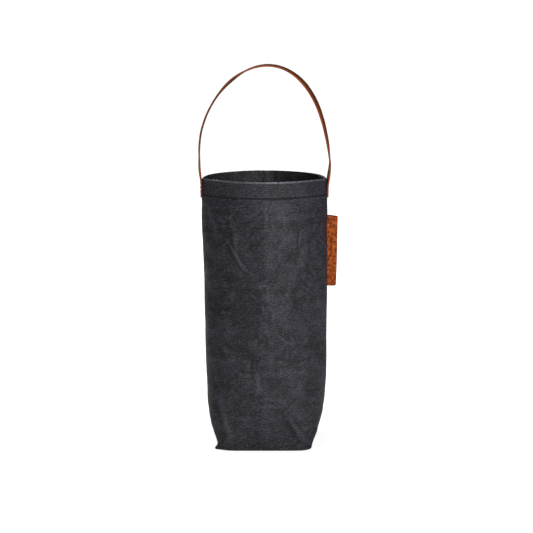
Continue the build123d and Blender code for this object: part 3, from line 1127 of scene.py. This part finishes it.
def canvas_material():
    """Waxed charcoal canvas: ribbed, flecked where the weave catches the light, scuffed on the creases; the
    cloth's marks add painted highlights and painted shade.
    """
    n = Nodes(bpy.data.materials.new("charcoal_canvas"))
    flat, place = n.flat(), n.place()
    ribs = n.bands(flat, "Y", 2.3 * MM, 5.0, 1.6)
    threads = n.bands(flat, "X", 1.1 * MM, 3.0, 1.5)
    flecks = n.levels(n.stretched_noise(flat, 230, 620, 1.0, 2.0, 0.55), 0.34, 0.70)
    speckle = n.levels(n.noise(flat, 520, 2.0, 0.6), 0.36, 0.68)
    scuffs = n.noise(place, 95, 5.0, 0.68)
    clouds = n.levels(n.noise(place, 30, 3.0, 0.55), 0.32, 0.68)
    # The ribs show in some places and hardly in others
    ribs_shown = n.times(ribs, n.levels(n.noise(place, 55, 2.0), 0.40, 0.62, 0.15, 1.0))
    # The cloth's marks: worn wax, with painted shade in its dents and a painted highlight under the hem
    share = n.weighted((flecks, 0.32), (speckle, 0.35), (ribs_shown, 0.19),
                       (n.levels(scuffs, 0.40, 0.70), 0.10), (clouds, 0.05), (n.attribute("wear_and_painted_light"), 0.16))
    # Patches: uneven wax and painted light and shade
    share = n.plus(share, n.plus(n.attribute("patch"), 0.035))
    # Painted shade inside the back's hem
    share = n.minus(share, n.times(n.attribute("inside"), 0.22))
    dark, pale = grey(0.0020, (1.03, 0.94, 1.45)), grey(0.052, (1.04, 0.95, 1.40))
    colour = n.mix(n.levels(share, 0.28, 0.80), dark, pale)
    sparks = n.levels(n.stretched_noise(flat, 420, 700, 1.0, 1.0), 0.64, 0.74)
    colour = n.mix(n.times(sparks, 0.7), colour, grey(0.085, (1.0, 0.96, 1.15)))
    # Paler fold of the rim: worn wax and a painted highlight
    rim_highlight_and_scuff = n.times(n.attribute("edge"), n.levels(n.noise(flat, 300, 3.0, 0.6), 0.35, 0.65, 0.25, 1.0))
    colour = n.mix(rim_highlight_and_scuff, colour, grey(0.34, (1.0, 0.96, 1.12)))
    # Dark stitch line of the hem: thread colour and painted shade in the dent
    colour = n.mix(n.times(n.attribute("sewn"), 0.95), colour, grey(0.003))
    normal = n.bumps(
        (clouds, 0.7 * MM, 0.3),
        (scuffs, 0.7 * MM, 0.4),
        (flecks, 0.30 * MM, 0.9),
        (n.weighted((ribs, 0.6), (threads, 0.4)), 0.25 * MM, 0.9),
        (speckle, 0.20 * MM, 0.9),
    )
    return n.finish(Base_Color=colour, Roughness=n.levels(share, 0.1, 0.9, 0.62, 0.48),
                    Specular_IOR_Level=0.5, Normal=normal)


def leather_material(name, dark, middle, light, cut_colour, cut_share, mottle, groove_dark, rough, pores):
    """Vegetable-tanned leather: mottled faces with pores, and fibrous cut edges in their own colour."""
    n = Nodes(bpy.data.materials.new(name))
    flat = n.flat()
    patches = n.stretched_noise(flat, 1.0, 1.5, mottle, 5.0, 0.62)
    streaks = n.stretched_noise(flat, 260, 90, 1.0, 4.0, 0.7)
    cells = n.add("ShaderNodeTexVoronoi", {"Vector": flat, "Scale": pores, "Randomness": 1.0},
                  feature="DISTANCE_TO_EDGE").outputs["Distance"]
    fibres = n.stretched_noise(flat, 500, 3200, 1.0, 3.0, 0.6)
    tone = n.weighted((patches, 0.62), (streaks, 0.38))
    colour = n.mix(n.levels(tone, 0.36, 0.52), rgb(*dark), rgb(*middle))
    colour = n.mix(n.levels(tone, 0.50, 0.66), colour, rgb(*light))
    edge_share = n.levels(n.weighted((fibres, 0.5), (n.noise(flat, 38, 2.0), 0.5)), 0.38, 0.60)
    edge = n.mix(edge_share, grey(0.3, cut_colour), rgb(*cut_colour))
    colour = n.mix(n.times(n.attribute("cut"), cut_share), colour, edge)
    colour = n.mix(n.times(n.attribute("groove"), 0.75), colour, rgb(*groove_dark))
    normal = n.bumps(
        (patches, 0.5 * MM, 0.35),
        (n.levels(cells, 0.0, 0.25), 0.07 * MM, 0.7),
        (fibres, 0.12 * MM, 0.35),
    )
    return n.finish(Base_Color=colour, Roughness=n.levels(tone, 0.35, 0.65, rough + 0.08, rough - 0.08),
                    Specular_IOR_Level=0.12, Normal=normal)


def thread_material():
    """Black waxed thread of two plies."""
    n = Nodes(bpy.data.materials.new("black_thread"))
    flat = n.flat()
    turned = n.add("ShaderNodeVectorRotate", {"Vector": flat, "Angle": 0.7}, rotation_type="Z_AXIS")
    twist = n.bands(turned.outputs["Vector"], "X", 0.28 * MM, 1.0, 1.0)
    colour = n.mix(n.levels(twist, 0.1, 0.9), grey(0.004), grey(0.020))
    normal = n.bumps((n.plus(twist, n.noise(flat, 2600, 2.0)), 0.06 * MM, 0.8))
    return n.finish(Base_Color=colour, Roughness=0.6, Specular_IOR_Level=0.3, Normal=normal)


def floor_material():
    """Pale paper that shades a little near the bag and is plain white further off."""
    n = Nodes(bpy.data.materials.new("pale_paper"))
    place = n.place()
    tone = n.levels(n.noise(place, 3.0, 3.0), 0.3, 0.7, 0.86, 0.9)
    colour = n.add("ShaderNodeCombineColor", {"Red": tone, "Green": tone, "Blue": tone}).outputs["Color"]
    away = n.add("ShaderNodeVectorMath", {0: place}, operation="LENGTH").outputs["Value"]
    glow = n.times(n.seen(), n.levels(away, 0.08, 0.36, 0.72, 1.0))
    return n.finish(Base_Color=colour, Roughness=0.9, Specular_IOR_Level=0.1,
                    Emission_Color=rgb(1, 1, 1), Emission_Strength=glow)


canvas = canvas_material()
thread = thread_material()
strap_leather = leather_material(
    "brown_bridle_leather", dark=(0.070, 0.016, 0.003), middle=(0.13, 0.033, 0.007),
    light=(0.21, 0.060, 0.015), cut_colour=(0.47, 0.105, 0.026), cut_share=1.0, mottle=55,
    groove_dark=(0.02, 0.008, 0.005), rough=0.7, pores=900)
tag_leather = leather_material(
    "cognac_leather", dark=(0.077, 0.012, 0.002), middle=(0.34, 0.064, 0.010),
    light=(0.72, 0.190, 0.032), cut_colour=(0.16, 0.030, 0.006), cut_share=0.8, mottle=230,
    groove_dark=(0.06, 0.011, 0.003), rough=0.65, pores=700)

# ---------------------------------------------------------------- the bag

sides = ((LEFT, "left"), (RIGHT, "right"))
sag_heights, sag = simulated_sag()
panels = [Panel(FRONT, sag_heights, sag), Panel(BACK, sag_heights, sag)]
build_panel("front_canvas", "front_panel", panels[0], canvas)
build_panel("back_canvas", "back_panel", panels[1], canvas)
for side, label in sides:
    build_corner_strip("corner_allowance_" + label, side, canvas)
build_strap(strap_leather)
build_tag(tag_leather)
build_thread("hem_thread", "hem_stitching", hem_places(panels), thread)
for side, label in sides:
    build_thread("strap_thread_" + label, "strap_stitching_" + label, strap_places(side), thread)
for side, label in sides:
    build_thread("side_thread_" + label, "side_seam_thread_" + label, side_seam_places(panels, side), thread)
build_thread("base_thread", "base_seam_thread", base_seam_places(), thread)
for side, label in sides:
    build_thread("corner_thread_" + label, "corner_seam_thread_" + label, corner_seam_places(side), thread)

# ---------------------------------------------------------------- stage, light and camera

camera_place, camera_tilt, camera_lens = (2.2 * MM, -1.5, 0.5), 11.4, 93.3  # metres, degrees, millimetres
world_light, world_seen = 0.10, 1.05  # strength of the white surroundings as light, and as the camera sees it
# Name, place, target, size in metres and power in watts of each lamp
lights = (
    ("key", (0.52, -1.50, 0.62), (0, 0, 0.17), 0.5, 17.0),
    ("top", (0.02, 0.05, 1.5), (0, 0.05, 0.1), 0.3, 2),
    ("back", (-0.7, 1.35, 0.9), (0, 0, 0.2), 0.6, 14),
)


def look_at(thing, target):
    x, y, z = np.array(target) - np.array(thing.location)
    thing.rotation_euler = (math.pi / 2 + math.atan2(z, math.hypot(x, y)), 0, -math.atan2(x, y))


def add_floor():
    """A disc, with more rings near the bag."""
    around = 96
    rings = (0.35, 0.9, 2.0, 5.0)  # radii in metres
    points, faces = [(0.0, 0.0, 0.0)], []
    for radius in rings:
        for k in range(around):
            angle = 2 * math.pi * k / around
            points.append((radius * math.cos(angle), radius * math.sin(angle), 0.0))
    for k in range(around):
        faces.append((0, 1 + k, 1 + (k + 1) % around))
        for r in range(len(rings) - 1):
            a, b = 1 + r * around + k, 1 + r * around + (k + 1) % around
            faces.append((a, a + around, b + around, b))
    flat = [points[c][:2] for face in faces for c in face]
    floor = make_object("floor", points, faces, flat)
    floor.data.materials.append(floor_material())


def add_area_light(name, place, target, size, power):
    data = bpy.data.lights.new(name, "AREA")
    data.shape = "DISK"
    data.size = size
    data.energy = power
    light = bpy.data.objects.new(name, data)
    light.location = place
    bpy.context.scene.collection.objects.link(light)
    look_at(light, target)


def add_world():
    """White where the camera sees it, and a dimmer white for the light it gives."""
    n = Nodes(bpy.data.worlds.new("studio"))
    inputs = {"Color": rgb(1, 1, 1), "Strength": n.levels(n.seen(), 0, 1, world_light, world_seen)}
    background = n.add("ShaderNodeBackground", inputs).outputs["Background"]
    n.add("ShaderNodeOutputWorld", {"Surface": background})
    bpy.context.scene.world = n.owner


def add_camera():
    data = bpy.data.cameras.new("camera")
    data.lens = camera_lens
    data.sensor_width = 36.0
    camera = bpy.data.objects.new("camera", data)
    camera.location = camera_place
    camera.rotation_euler = (math.radians(90 - camera_tilt), 0, 0)
    bpy.context.scene.collection.objects.link(camera)
    bpy.context.scene.camera = camera


add_floor()
add_world()
for light in lights:
    add_area_light(*light)
add_camera()
bpy.context.scene.view_settings.view_transform = "Standard"
bpy.context.scene.view_settings.look = "None"
